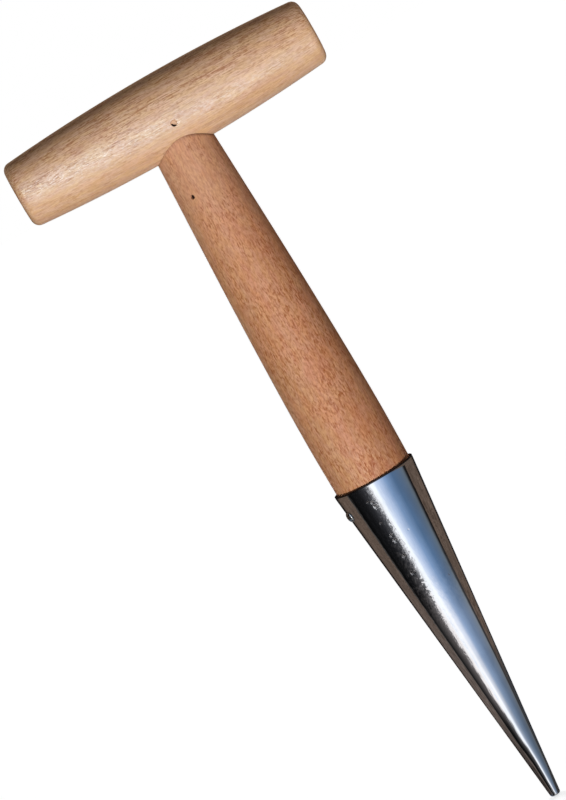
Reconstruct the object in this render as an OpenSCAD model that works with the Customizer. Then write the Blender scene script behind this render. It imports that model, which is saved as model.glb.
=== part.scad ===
// Garden dibber with a T handle: a turned crossbar doweled to a turned shaft, whose nose is nailed
// into a rolled sheet-steel cone. Millimetres, +Z up, origin at the centre of the blunt tip.
// The crossbar lies along X, and the side that shows the set brads faces -Y.

/* [Crossbar] */
// Length of the crossbar over its ends
bar_len = 117; // [100:1:140]
// Diameter at the middle of the crossbar
bar_d = 29.2; // [27:0.2:36]
// Diameter that the barrel curve reaches at the ends
bar_end_d = 23.8; // [20:0.2:26]
// Radius that rounds the rim of each end
bar_rim_r = 3; // [1:0.25:5]

/* [Shaft] */
// Height from the mouth of the cone to the axis of the crossbar
shaft_rise = 145; // [120:1:170]
// Diameter at the neck, level with the underside of the crossbar
shaft_neck_d = 22.3; // [20:0.2:25]
// Diameter at the bend where the upper taper eases, before the bend is rounded
shaft_bend_d = 27.2; // [25:0.1:28]
// Height of the bend above the mouth of the cone
bend_rise = 73; // [60:1:85]
// Diameter at the swell, before the swell is rounded
shaft_swell_d = 29.5; // [28.8:0.1:31]
// Height of the swell above the mouth of the cone
swell_rise = 25; // [15:1:40]
// Depth of the wooden nose inside the cone
nose_len = 60; // [40:1:80]
// Chamfer on the end of the nose
nose_chamfer = 2; // [0.5:0.25:4]

/* [Steel cone] */
// Length of the cone from its tip to its mouth
cone_len = 130; // [110:1:150]
// Outer diameter of the mouth
cone_mouth_d = 31; // [29:0.1:33]
// Outer diameter of the blunt tip, before it is rounded
cone_tip_d = 3.8; // [3:0.1:6]
// Thickness of the rolled sheet
sheet_t = 1; // [0.8:0.05:1.2]
// Radius that rounds the blunt tip
tip_r = 0.8; // [0.3:0.1:1.2]
// Length of the tip that the weld fills
tip_fill = 10; // [6:1:20]
// Chamfer on the cut edge of the mouth
lip_chamfer = 0.2; // [0.05:0.05:0.3]
// Direction that the butt seam faces, in degrees about Z from +X
seam_azimuth = 350; // [0:1:360]
// Width of the groove along the seam
seam_w = 0.4; // [0.2:0.05:0.8]
// Depth of the groove along the seam
seam_depth = 0.2; // [0.1:0.05:0.4]
// Direction that the ground flat beside the tip faces, in degrees about Z from +X
flat_azimuth = 325; // [0:1:360]
// Length of the ground flat from the tip
flat_len = 11; // [5:0.5:20]
// Depth that the ground flat reaches at the tip
flat_depth = 0.3; // [0.1:0.05:0.6]

/* [Dowel joint] */
// Diameter of the dowel that joins the crossbar and the shaft
dowel_d = 12; // [9:0.5:14]
// Length of the dowel
dowel_len = 53; // [46:1:62]
// Height of the dowel's upper end above the axis of the crossbar
dowel_over = 6; // [3:0.5:8]
// Chamfer on the ends of the dowel
dowel_chamfer = 1.2; // [0.5:0.1:2]
// Number of glue flutes around the dowel
flute_count = 16; // [8:1:24]
// Depth of each glue flute
flute_depth = 0.4; // [0.2:0.05:0.5]
// Width of each glue flute
flute_w = 1; // [1:0.1:1.4]

/* [Set brads] */
// Diameter of a brad
brad_d = 1.2; // [0.8:0.1:1.3]
// Length of a brad with its head
brad_len = 18; // [12:0.5:20]
// Diameter of the head of the crossbar's brad
bar_brad_head_d = 2; // [1.4:0.1:3]
// Diameter of the head of the shaft's brad
shaft_brad_head_d = 1.4; // [1.4:0.1:3]
// Height of a brad's head
brad_head_h = 0.9; // [0.5:0.1:1.5]
// Length of a brad's point
brad_point = 2; // [1:0.25:4]
// Depth that the heads are driven below the wood
brad_set = 0.9; // [0.3:0.1:2]
// Distance of the crossbar's brad below the axis of the crossbar
bar_brad_drop = 4.5; // [2:0.5:8]
// Distance of the crossbar's brad from the middle of the crossbar towards +X
bar_brad_shift = 0.8; // [-3:0.1:3]
// Distance of the shaft's brad below the axis of the crossbar
shaft_brad_drop = 29.5; // [26:0.5:36]
// Turn of the shaft's brad from the front towards -X, in degrees
shaft_brad_turn = 32.5; // [0:0.5:60]

/* [Cone nail] */
// Diameter of the nail that holds the cone
nail_d = 1.8; // [1.4:0.1:2.4]
// Length of the nail under its head
nail_len = 13; // [8:0.5:18]
// Diameter of the nail's domed head
nail_head_d = 4; // [3:0.1:6]
// Height of the nail's domed head
nail_head_h = 1.1; // [0.6:0.1:1.5]
// Length of the nail's point
nail_point = 2.5; // [1:0.25:4]
// Distance of the nail below the mouth of the cone
nail_drop = 8.2; // [6:0.2:14]
// Turn of the nail from -X towards the front, in degrees
nail_turn = 16; // [0:1:90]

/* [Fits] */
// Gap left for glue around the dowel and in the saddle
glue_gap = 0.1; // [0.05:0.01:0.2]
// Gap around a driven nail or brad
nail_gap = 0.04; // [0.02:0.01:0.1]
// Gap between the nose and the inside of the cone
nose_gap = 0.12; // [0.05:0.01:0.3]

/* [Hidden] */
$fn = 96;
// Steps along a long shallow curve, and along a small rounded corner
CURVE_STEPS = 20;
CORNER_STEPS = 8;
// How far a cut runs past the face that it opens
PAST = 1;

// Heights
bar_z = cone_len + shaft_rise;
neck_z = bar_z - bar_d / 2;
nose_z = cone_len - nose_len;
dowel_top_z = bar_z + dowel_over;
dowel_bottom_z = dowel_top_z - dowel_len;

// The cone's outside is a straight slope, and its inside is that slope moved in by the sheet
cone_slope = (cone_mouth_d - cone_tip_d) / 2 / cone_len;
cone_angle = atan(cone_slope);
wall = sheet_t / cos(cone_angle);
function cone_r(z) = cone_tip_d / 2 + cone_slope * z;
function bore_r(z) = cone_r(z) - wall;
function nose_r(z) = bore_r(z) - nose_gap;

// Corners of the shaft's side, as radius and height, from the mouth of the cone up to the neck
mouth = [nose_r(cone_len), cone_len];
swell = [shaft_swell_d / 2, cone_len + swell_rise];
bend = [shaft_bend_d / 2, cone_len + bend_rise];
neck = [shaft_neck_d / 2, neck_z];

// The upper taper runs straight through the neck into the crossbar
function taper_r(z) = neck[0] + (neck_z - z) * (bend[0] - neck[0]) / (neck_z - bend[1]);

// Points on an arc, from one angle to another
function arc(centre, r, from, to, steps) =
    [for (i = [0:steps]) let (a = from + (to - from) * i / steps) centre + r * [cos(a), sin(a)]];

// Points that round a corner between the middles of the two lines that meet there
function rounded(before, corner, after, steps) =
    [for (i = [0:steps])
        let (t = i / steps, a = (before + corner) / 2, b = (corner + after) / 2)
        a * pow(1 - t, 2) + corner * 2 * t * (1 - t) + b * pow(t, 2)];

// The crossbar's barrel curve is an arc whose centre lies past the axis
barrel_sag = (bar_d - bar_end_d) / 2;
barrel_r = (pow(bar_len / 2, 2) + pow(barrel_sag, 2)) / (2 * barrel_sag);
barrel_c = bar_d / 2 - barrel_r;

// Half outline of the crossbar, grown by a gap: radius against distance along the axis
function bar_outline(grow = 0) =
    let (r = barrel_r + grow,
         rim = bar_rim_r + grow,
         rim_y = bar_len / 2 - bar_rim_r,
         rim_x = barrel_c + sqrt(pow(r - rim, 2) - pow(rim_y, 2)),
         lean = asin(rim_y / (r - rim)))
    concat([[0, -bar_len / 2 - grow]],
           arc([rim_x, -rim_y], rim, -90, -lean, CORNER_STEPS),
           arc([barrel_c, 0], r, -lean, lean, CURVE_STEPS),
           arc([rim_x, rim_y], rim, lean, 90, CORNER_STEPS),
           [[0, bar_len / 2 + grow]]);

// The crossbar's outside, along X at its height, grown by a gap
module bar_body(grow = 0)
    translate([0, 0, bar_z]) rotate([0, 90, 0]) rotate_extrude() polygon(bar_outline(grow));

// A place on the front of the crossbar, square to the plane of the tool, with +Z out of the wood
module at_bar_brad() {
    depth = sqrt(pow(bar_d / 2, 2) - pow(bar_brad_drop, 2));
    translate([bar_brad_shift, -depth, bar_z - bar_brad_drop]) rotate([90, 0, 0]) children();
}

// A place on the side of the shaft, with +Z out of the wood
module at_shaft_brad() {
    z = bar_z - shaft_brad_drop;
    rotate([0, 0, 270 - shaft_brad_turn]) translate([taper_r(z), 0, z]) rotate([0, 90, 0]) children();
}

// A place on the outside of the cone, square to its slope, with +Z out of the metal and +X to the tip
module on_cone(z, azimuth)
    rotate([0, 0, azimuth]) translate([cone_r(z), 0, z]) rotate([0, 90 + cone_angle, 0]) children();

module at_cone_nail() on_cone(cone_len - nail_drop, 180 + nail_turn) children();

// A brad whose head is set below the place that it is driven at
module brad(head_d) {
    top = -brad_set;
    shank = brad_d / 2;
    head = head_d / 2;
    rotate_extrude() polygon([
        [0, top], [head, top], [head, top - brad_head_h / 2], [shank, top - brad_head_h],
        [shank, top - brad_len + brad_point], [0, top - brad_len]]);
}

// The hole that a brad is driven into, with the pit that the nail set leaves over its head
module brad_hole(head_d) {
    translate([0, 0, -brad_set - brad_len - nail_gap]) cylinder(d = brad_d + 2 * nail_gap, h = brad_len);
    translate([0, 0, -brad_set - brad_head_h - nail_gap])
        cylinder(d = head_d + 2 * nail_gap, h = brad_set + brad_head_h + PAST);
}

// The hole for the shank of the cone's nail
module nail_hole()
    translate([0, 0, -nail_len - nail_gap]) cylinder(d = nail_d + 2 * nail_gap, h = nail_len + PAST);

// The blind hole that takes the dowel
module dowel_hole()
    translate([0, 0, dowel_bottom_z - glue_gap])
        cylinder(d = dowel_d + 2 * glue_gap, h = dowel_len + 2 * glue_gap);

module crossbar() color("burlywood") difference() {
    bar_body();
    dowel_hole();
    at_bar_brad() brad_hole(bar_brad_head_d);
}

module shaft() color("peru") difference() {
    chamfer_z = nose_z + nose_chamfer;
    rotate_extrude() polygon(concat(
        [[0, nose_z], [nose_r(nose_z) - nose_chamfer, nose_z], [nose_r(chamfer_z), chamfer_z], mouth],
        rounded(mouth, swell, bend, CURVE_STEPS),
        rounded(swell, bend, neck, CURVE_STEPS),
        [[taper_r(bar_z), bar_z], [0, bar_z]]));
    bar_body(glue_gap);
    dowel_hole();
    at_shaft_brad() brad_hole(shaft_brad_head_d);
    at_cone_nail() nail_hole();
}

module joint_dowel() color("wheat") difference() {
    r = dowel_d / 2;
    flute_r = (pow(flute_w / 2, 2) + pow(flute_depth, 2)) / (2 * flute_depth);
    rotate_extrude() polygon([
        [0, dowel_bottom_z], [r - dowel_chamfer, dowel_bottom_z], [r, dowel_bottom_z + dowel_chamfer],
        [r, dowel_top_z - dowel_chamfer], [r - dowel_chamfer, dowel_top_z], [0, dowel_top_z]]);
    for (i = [0:flute_count - 1])
        rotate([0, 0, 360 * (i + 0.5) / flute_count])
            translate([r - flute_depth + flute_r, 0, dowel_bottom_z - PAST])
                cylinder(r = flute_r, h = dowel_len + 2 * PAST, $fn = 24);
    at_bar_brad() brad_hole(bar_brad_head_d);
    at_shaft_brad() brad_hole(shaft_brad_head_d);
}

module crossbar_brad() color("dimgray") at_bar_brad() brad(bar_brad_head_d);

module shaft_brad() color("dimgray") at_shaft_brad() brad(shaft_brad_head_d);

module steel_cone() color("silver") difference() {
    lip_z = cone_len - lip_chamfer;
    tip_c = [cone_r(tip_r) - tip_r / cos(cone_angle), tip_r];
    rotate_extrude() polygon(concat(
        [[0, 0]],
        arc(tip_c, tip_r, -90, -cone_angle, CORNER_STEPS),
        [[cone_r(lip_z), lip_z], [cone_r(cone_len) - lip_chamfer, cone_len]],
        [[bore_r(cone_len) + lip_chamfer, cone_len], [bore_r(lip_z), lip_z]],
        [[bore_r(tip_fill), tip_fill], [0, tip_fill]]));
    at_cone_nail() nail_hole();
    on_cone(cone_len / 2, seam_azimuth)
        translate([-cone_len, -seam_w / 2, -seam_depth]) cube([2 * cone_len, seam_w, PAST]);
    on_cone(flat_len, flat_azimuth)
        rotate([0, atan(flat_depth / flat_len), 0])
            translate([0, -cone_tip_d, 0]) cube([2 * flat_len, 2 * cone_tip_d, 2 * PAST]);
}

module cone_nail() color("gray") at_cone_nail() {
    dome_r = (pow(nail_head_d / 2, 2) + pow(nail_head_h, 2)) / (2 * nail_head_h);
    lean = acos((dome_r - nail_head_h) / dome_r);
    rotate_extrude() polygon(concat(
        [[0, -nail_len], [nail_d / 2, nail_point - nail_len], [nail_d / 2, 0]],
        arc([0, nail_head_h - dome_r], dome_r, 90 - lean, 90, CORNER_STEPS)));
}

crossbar();
shaft();
joint_dowel();
crossbar_brad();
shaft_brad();
steel_cone();
cone_nail();
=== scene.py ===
"""Looks of a garden dibber: a turned T handle of beech and a polished, rolled steel cone."""

from dataclasses import dataclass
from math import asin, atan, cos, degrees, pi, radians, sin, sqrt
from typing import NamedTuple

import bmesh
import bpy
from bpy.props import FloatProperty, FloatVectorProperty, PointerProperty
from mathutils import Matrix, Vector


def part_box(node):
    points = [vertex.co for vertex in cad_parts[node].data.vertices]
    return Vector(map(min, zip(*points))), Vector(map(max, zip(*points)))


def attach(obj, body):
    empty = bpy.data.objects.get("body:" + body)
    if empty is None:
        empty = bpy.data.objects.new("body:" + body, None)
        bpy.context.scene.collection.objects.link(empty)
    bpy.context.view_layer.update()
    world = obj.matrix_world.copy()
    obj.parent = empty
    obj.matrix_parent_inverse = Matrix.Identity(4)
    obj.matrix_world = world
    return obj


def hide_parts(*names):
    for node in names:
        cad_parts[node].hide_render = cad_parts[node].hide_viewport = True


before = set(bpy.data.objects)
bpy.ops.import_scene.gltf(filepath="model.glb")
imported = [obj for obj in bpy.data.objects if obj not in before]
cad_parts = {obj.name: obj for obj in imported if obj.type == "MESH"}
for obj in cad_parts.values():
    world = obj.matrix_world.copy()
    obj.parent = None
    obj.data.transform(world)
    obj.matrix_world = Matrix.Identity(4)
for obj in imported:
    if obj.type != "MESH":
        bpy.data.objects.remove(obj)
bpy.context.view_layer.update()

bl_info = {
    "name": "Garden Dibber",
    "version": (1, 0, 0),
    "blender": (4, 5, 0),
    "location": "3D View > Sidebar > Dibber",
    "description": "Models a garden dibber with a turned beech handle and a polished steel cone",
    "category": "Add Mesh",
}

MM = 0.001
BODY = "root"
BAR_LOW, BAR_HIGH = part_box("crossbar")
SHAFT_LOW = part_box("shaft")[0]
CONE_LOW, CONE_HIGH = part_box("steel_cone")
DOWEL_LOW, DOWEL_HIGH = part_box("joint_dowel")
BAR_Z = (BAR_LOW.z + BAR_HIGH.z) / 2

# Steps round a turned piece, the dowel's hole, the nail's head, a pit and the nail's hole
TURN_STEPS = 160
DOWEL_STEPS = 64
HEAD_STEPS = 48
PIT_STEPS = 40
SHANK_STEPS = 32
# Steps along a long shallow curve and round a small corner
CURVE_STEPS = 24
CORNER_STEPS = 8
# Edges that bend by more than this stay crisp
CRISP = radians(32)
# How far a cutter runs past the face that it opens
PAST = 1 * MM
# Points closer than this are one point, and points closer than this to a cutting plane lie on it
WELD = 1e-6
ON_PLANE = 1e-7
# The dish of a pit: its depth as a share of the set depth, and how far it opens above the wood, in flares
DISH_DEPTH = 0.5
DISH_REACH = 3
# How far a piece may lie from the box of the node that it stands for
SEAT_TOLERANCE = 0.4 * MM
# Nicks in the polish: height in mm, direction from the front in degrees and radius in mm
NICKS = (
    (124.2, -25.0, 0.7), (123.4, -19.6, 0.8), (121.6, -18.6, 1.1), (115.5, -25.5, 0.7),
    (110.0, -21.7, 0.9), (107.8, -20.3, 1.15), (109.0, 5.2, 0.45), (101.5, -21.5, 1.0),
    (94.8, -24.2, 1.1), (88.0, 31.0, 0.4), (71.0, 120.0, 0.5), (99.0, 150.0, 0.6),
    (58.0, -75.0, 0.4), (116.0, 205.0, 0.5), (46.0, 60.0, 0.4),
)


def tint(red, green, blue):
    """A colour as it shows on a screen, 0 to 255, turned into the linear values that shaders take."""
    def linear(value):
        part = value / 255
        return part / 12.92 if part <= 0.04045 else ((part + 0.055) / 1.055) ** 2.4
    return (linear(red), linear(green), linear(blue), 1.0)


def length(name, description, default):
    """A size in metres."""
    return FloatProperty(name=name, description=description, default=default, unit="LENGTH", precision=5)


def number(name, description, default):
    """A plain number."""
    return FloatProperty(name=name, description=description, default=default)


def angle(name, description, default):
    """An angle, given in degrees."""
    return FloatProperty(name=name, description=description, default=radians(default), subtype="ANGLE")


def share(name, description, default):
    """A number from 0 to 1."""
    return FloatProperty(
        name=name, description=description, default=default, min=0, max=1, subtype="FACTOR")


def colour(name, description, default):
    """A colour with its alpha."""
    return FloatVectorProperty(
        name=name, description=description, default=default, size=4, min=0, max=1, subtype="COLOR")


def place(name, description, default):
    """A point in metres."""
    return FloatVectorProperty(name=name, description=description, default=default, size=3, subtype="XYZ")


class CrossbarSettings(bpy.types.PropertyGroup):
    """The turned crossbar."""

    length: length("Length", "Length over the ends", BAR_HIGH.x - BAR_LOW.x)
    middle_d: length("Middle diameter", "Diameter at the middle", BAR_HIGH.z - BAR_LOW.z)
    end_d: length("End diameter", "Diameter that the barrel curve reaches at the ends", 23.8 * MM)
    rim_r: length("Rim radius", "Radius that rounds the rim of each end", 3 * MM)
    brad_drop: length("Brad drop", "Distance of the set brad below the axis", 4.5 * MM)
    brad_shift: length("Brad shift", "Distance of the set brad from the middle towards +X", 0.8 * MM)
    light: colour("Light wood", "Early wood of the growth rings", tint(232, 191, 154))
    dark: colour("Dark wood", "Late wood, fibres and ray flecks", tint(177, 120, 77))
    rough: share("Roughness", "Roughness of the lacquered wood", 0.48)
    gloss: share("Gloss", "Strength of the lacquer's sheen", 0.72)


class ShaftSettings(bpy.types.PropertyGroup):
    """The turned shaft."""

    neck_d: length("Neck diameter", "Diameter level with the underside of the crossbar", 22.3 * MM)
    bend_d: length("Bend diameter", "Diameter where the upper taper eases", 27.2 * MM)
    bend_rise: length("Bend rise", "Height of the bend above the mouth of the cone", 73 * MM)
    swell_d: length("Swell diameter", "Diameter of the swell, before it is rounded", 29.5 * MM)
    swell_rise: length("Swell rise", "Height of the swell above the mouth of the cone", 25 * MM)
    nose_chamfer: length("Nose chamfer", "Chamfer on the end of the hidden nose", 2 * MM)
    brad_drop: length("Brad drop", "Distance of the set brad below the axis of the crossbar", 29.5 * MM)
    brad_turn: angle("Brad turn", "Turn of the set brad from the front towards -X", 32.5)
    light: colour("Light wood", "Early wood of the growth rings", tint(212, 155, 117))
    dark: colour("Dark wood", "Late wood, fibres and ray flecks", tint(161, 91, 49))
    rough: share("Roughness", "Roughness of the lacquered wood", 0.64)
    gloss: share("Gloss", "Strength of the lacquer's sheen", 0.42)


class ConeSettings(bpy.types.PropertyGroup):
    """The rolled steel cone."""

    length: length("Length", "Length from the tip to the mouth", CONE_HIGH.z - CONE_LOW.z)
    mouth_d: length("Mouth diameter", "Outer diameter of the mouth", 31 * MM)
    tip_d: length("Tip diameter", "Outer diameter of the tip, before it is rounded", 3.8 * MM)
    tip_r: length("Tip radius", "Radius that rounds the blunt tip", 0.8 * MM)
    tip_fill: length("Tip fill", "Length of the tip that the weld fills", 10 * MM)
    sheet: length("Sheet", "Thickness of the rolled sheet", 1 * MM)
    lip_bend: length("Lip bend", "Length of the mouth that bends in a little", 2.1 * MM)
    lip_lean: angle("Lip lean", "Angle that the mouth bends in by", 3)
    lip_r: length("Lip radius", "Radius that breaks the cut edge of the mouth", 0.2 * MM)
    seam_turn: angle("Seam turn", "Direction of the butt seam about Z, from +X", 350)
    seam_w: length("Seam width", "Width of the groove along the seam", 0.4 * MM)
    seam_depth: length("Seam depth", "Depth of the groove along the seam", 0.2 * MM)
    flat_turn: angle("Flat turn", "Direction of the ground flat about Z, from +X", 325)
    flat_length: length("Flat length", "Length of the ground flat from the tip", 11 * MM)
    flat_depth: length("Flat depth", "Depth of the ground flat at the tip", 0.3 * MM)
    bright: colour("Bright steel", "Polished steel", tint(229, 231, 235))
    smudged: colour("Smudged steel", "Handled, slightly dulled steel", tint(216, 218, 222))
    rough: share("Roughness", "Roughness of the polish", 0.02)


class NailSettings(bpy.types.PropertyGroup):
    """The domed nail that holds the cone, and the brads that pin the dowel."""

    shank_d: length("Shank diameter", "Diameter of the cone's nail", 1.8 * MM)
    shank: length("Shank length", "Length of the nail under its head", 13 * MM)
    point: length("Point", "Length of the nail's point", 2.5 * MM)
    head_d: length("Head diameter", "Diameter of the domed head", 4 * MM)
    head_h: length("Head height", "Height of the domed head", 1.1 * MM)
    drop: length("Drop", "Distance of the nail below the mouth of the cone", 8.2 * MM)
    turn: angle("Turn", "Turn of the nail from -X towards the front", 16)
    brad_d: length("Brad diameter", "Diameter of a brad", 1.2 * MM)
    bar_head_d: length("Crossbar brad head", "Diameter of the head of the crossbar's brad", 2 * MM)
    shaft_head_d: length("Shaft brad head", "Diameter of the head of the shaft's brad", 1.4 * MM)
    brad_set: length("Brad set", "Depth that the brads' heads are driven below the wood", 0.9 * MM)
    brad_length: length("Brad length", "Length of a brad with its head", 18 * MM)
    pit_flare: length("Pit flare", "Width that the rim of a pit is dished by", 0.2 * MM)
    steel: colour("Nail steel", "Bright nail wire", tint(206, 206, 204))
    oxide: colour("Oxide", "Dark skin of the brads", tint(30, 15, 10))
    # Sawdust colour, laid where light falls into the crossbar's pit, so also painted light
    filler_and_light: colour("Filler", "Wood dust pressed over part of the crossbar's brad", tint(214, 178, 148))


class DowelSettings(bpy.types.PropertyGroup):
    """The hidden dowel joint and the fits."""

    diameter: length("Diameter", "Diameter of the dowel", 12 * MM)
    glue_gap: length("Glue gap", "Gap around the dowel and in the saddle", 0.1 * MM)
    nail_gap: length("Nail gap", "Gap around a driven nail or brad", 0.04 * MM)
    nose_gap: length("Nose gap", "Gap between the nose and the inside of the cone", 0.12 * MM)
    light: colour("Light wood", "Early wood of the dowel", tint(222, 188, 150))
    dark: colour("Dark wood", "Late wood and flecks of the dowel", tint(178, 136, 96))
    rough: share("Roughness", "Roughness of the bare dowel", 0.75)
    gloss: share("Gloss", "Strength of the sheen", 0.3)


class StageSettings(bpy.types.PropertyGroup):
    """The camera, the floor, the lamps and what the polished steel mirrors."""

    eye: place("Eye", "Place of the camera", (-14.06 * MM, -1280 * MM, 275 * MM))
    tilt: angle("Tilt", "Angle that the camera looks down by", 4.753)
    roll: angle("Roll", "Angle that the camera is rolled by", 29.9)
    lens: number("Lens", "Focal length in millimetres", 166.2)
    key_turn: angle("Key turn", "Direction of the shaft's key lamp from the front towards +X", -12)
    key_rise: angle("Key rise", "Height of the shaft's key lamp above the horizon", -22)
    bar_turn: angle("Crossbar key turn", "Direction of the crossbar's key lamp", -2)
    bar_rise: angle("Crossbar key rise", "Height of the crossbar's key lamp above the horizon", -23)
    key_level: number("Key level", "Light that each key lamp gives", 0.92)
    key_spread: angle("Key spread", "Angle that each key lamp spans in the sky", 16)
    sheen_from: place("Sheen lamp", "Place of the lamp that shows in the crossbar's lacquer",
                      (-78 * MM, -410 * MM, 165 * MM))
    sheen_width: length("Sheen width", "Width of that lamp", 140 * MM)
    sheen_height: length("Sheen height", "Height of that lamp", 760 * MM)
    sheen_power: number("Sheen power", "Power of that lamp in watts", 3.5)
    sheen_lean: angle("Sheen lean", "Angle that the top of that lamp leans towards -X by", 28)
    sheen_tone: colour("Sheen tone", "Colour of that lamp, cool as the sky", (0.5, 0.82, 1.0, 1))
    rear_turn: angle("Rear turn", "Direction of the rear lamps from the front, each side", 155)
    rear_rise: angle("Rear rise", "Height of the rear lamps above the horizon", 22)
    rear_level: number("Rear level", "Light that each rear lamp gives", 0.5)
    rear_spread: angle("Rear spread", "Angle that each rear lamp spans in the sky", 30)
    ambient: colour("Ambient", "Light from all round", (0.088, 0.074, 0.064, 1))
    floor: colour("Floor", "Pale floor", tint(232, 232, 232))


class DibberSettings(bpy.types.PropertyGroup):
    """All sizes and colours of the dibber."""

    crossbar: PointerProperty(type=CrossbarSettings)
    shaft: PointerProperty(type=ShaftSettings)
    cone: PointerProperty(type=ConeSettings)
    nail: PointerProperty(type=NailSettings)
    dowel: PointerProperty(type=DowelSettings)
    stage: PointerProperty(type=StageSettings)


# Shader sums


def maths_pair(operation):
    """The methods for an operator and for its reflected form, which add a Math node."""
    def plain(self, other):
        return self.maths(operation, self, other)

    def reflected(self, other):
        return self.maths(operation, other, self)

    return plain, reflected


class Wire:
    """An output in a node tree. Sums on it add Math nodes, and node() adds any other."""

    __add__, __radd__ = maths_pair("ADD")
    __sub__, __rsub__ = maths_pair("SUBTRACT")
    __mul__, __rmul__ = maths_pair("MULTIPLY")
    __truediv__, __rtruediv__ = maths_pair("DIVIDE")
    __pow__, __rpow__ = maths_pair("POWER")

    # Numbers of the Mix node's sockets for colours, which share their names with its other sockets
    FACTOR, FIRST, SECOND, MIXED = 0, 6, 7, 2

    def __init__(self, tree, output=None):
        self.tree = tree
        self.output = output

    def node(self, kind, settings=None, inputs=None, out=0):
        """Add a node, set it up before its sockets, and give the output of that name or number."""
        made = self.tree.nodes.new(kind)
        for name, value in (settings or {}).items():
            if name == "stops":
                fill_ramp(made.color_ramp, value)
            else:
                setattr(made, name, value)
        for key, value in (inputs or {}).items():
            if isinstance(value, Wire):
                self.tree.links.new(value.output, made.inputs[key])
            else:
                made.inputs[key].default_value = value
        return Wire(self.tree, made.outputs[out] if made.outputs else None)

    def maths(self, operation, *terms):
        """A Math node on these terms."""
        return self.node("ShaderNodeMath", {"operation": operation}, dict(enumerate(terms)))

    def __abs__(self):
        return self.maths("ABSOLUTE", self)

    def step(self, low, high):
        """0 below low and 1 above high, smooth between them, or the reverse where low is greater."""
        return self.node("ShaderNodeMapRange", {"interpolation_type": "SMOOTHSTEP"},
                         {"Value": self, "From Min": low, "From Max": high})

    def between(self, low, high):
        """Low where this is 0, high where it is 1."""
        return low + (high - low) * self

    def change(self, change):
        """The amount of a change that has come in here."""
        return change.amount * self.step(change.start, change.end)

    def parts(self):
        """The three components of a vector."""
        split = self.tree.nodes.new("ShaderNodeSeparateXYZ")
        self.tree.links.new(self.output, split.inputs[0])
        return [Wire(self.tree, output) for output in split.outputs]

    def join(self, x, y, z):
        """A vector of three components."""
        return self.node("ShaderNodeCombineXYZ", inputs={0: x, 1: y, 2: z})

    def mix(self, factor, first, second, blend="MIX"):
        """A colour that goes from the first towards the second."""
        settings = {"data_type": "RGBA", "blend_type": blend}
        inputs = {self.FACTOR: factor, self.FIRST: first, self.SECOND: second}
        return self.node("ShaderNodeMix", settings, inputs, self.MIXED)

    def noise(self, field, x, y, z):
        """A field of noise from 0 to 1, with its width along X and Y and its length along Z."""
        at = self.join(x / field.width + field.shift, y / field.width, z / field.length)
        return self.noise_at(field, at)

    def flat_noise(self, field, x, y):
        """A field of noise from 0 to 1 on a flat card, with its width along X and its length along Y."""
        at = self.join(x / field.width, y / field.length, field.shift)
        return self.noise_at(field, at)

    def noise_at(self, field, vector):
        """Noise about 1 unit wide, cut at the edge of the field if it has one."""
        made = self.node("ShaderNodeTexNoise", inputs={
            "Vector": vector, "Scale": 1.0, "Detail": field.detail, "Roughness": field.roughness})
        return made.step(*field.edge) if field.edge else made

    def cells(self, vector, out):
        """Cells about 1 unit wide: the distance from the middle of the nearest, or a colour for each."""
        return self.node("ShaderNodeTexVoronoi", inputs={"Vector": vector, "Scale": 1.0}, out=out)

    def bump(self, height, distance, strength=1.0):
        """A normal that follows a height."""
        return self.node("ShaderNodeBump", inputs={
            "Strength": strength, "Distance": distance, "Height": height})

    def rays(self, *kinds):
        """1 for rays of these kinds, and 0 for others."""
        seen = [self.node("ShaderNodeLightPath", out=f"Is {kind} Ray") for kind in kinds]
        return sum(seen[1:], seen[0])


def fill_ramp(ramp, stops):
    """Give a ramp its stops, as places from 0 to 1 and colours."""
    while len(ramp.elements) > 1:
        ramp.elements.remove(ramp.elements[-1])
    ramp.elements[0].position, ramp.elements[0].color = stops[0]
    for position, value in stops[1:]:
        ramp.elements.new(position).color = value


def new_finish(name):
    """A material with an empty node tree, and a wire to start from."""
    material = bpy.data.materials.new(name)
    material.use_nodes = True
    material.node_tree.nodes.clear()
    return material, Wire(material.node_tree)


def in_millimetres(wire):
    """The place on the piece, in millimetres."""
    here = wire.node("ShaderNodeTexCoord", out="Object")
    return wire.node("ShaderNodeMapping", inputs={"Vector": here, "Scale": (1 / MM,) * 3})


def surface(wire, **sockets):
    """End a material in a Principled shader with these values or wires on its sockets."""
    inputs = {name.replace("_", " "): value for name, value in sockets.items()}
    shader = wire.node("ShaderNodeBsdfPrincipled", inputs=inputs)
    wire.node("ShaderNodeOutputMaterial", inputs={"Surface": shader})


# Finishes


class Field(NamedTuple):
    """Smooth noise: its size, a shift that sets it apart, how fine it is, and the edge it is cut at."""

    width: float
    length: float
    shift: float = 0.0
    detail: float = 1.0
    roughness: float = 0.5
    edge: tuple = ()


# Middle of what noise gives
MIDDLE = 0.5

# Noise in beech, in mm across the grain and along it
WANDER = Field(14.0, 70.0)
MOTTLE = Field(1.5, 3.6, detail=2.0, roughness=0.6)
DRIFT = Field(8.0, 34.0)
PATCHES = Field(5.0, 11.0, shift=2.7, edge=(0.36, 0.62))
BLUSH = Field(4.5, 12.0, shift=7.3, detail=3.0, roughness=0.6, edge=(0.40, 0.60))
STRAW = Field(2.0, 5.0, shift=-3.9, detail=2.0, edge=(0.36, 0.64))
DASH_EDGE = (0.50, 0.60)
GLINTS = Field(0.42, 1.5, shift=17.9, edge=DASH_EDGE)
FINE_SHIFT = 5.1
PALE_SHIFT = 11.7
# How far the grain wanders towards the pith, beside it and from ring to ring, in mm
WANDER_IN = 2.4
WANDER_ASIDE = 1.6
WANDER_RINGS = 0.8
# Width of a growth ring in mm, and the parts of it over which late wood starts and ends
RING_WIDTH = 2.3
LATE_START = (0.35, 0.92)
LATE_END = (1.0, 0.95)
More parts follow.
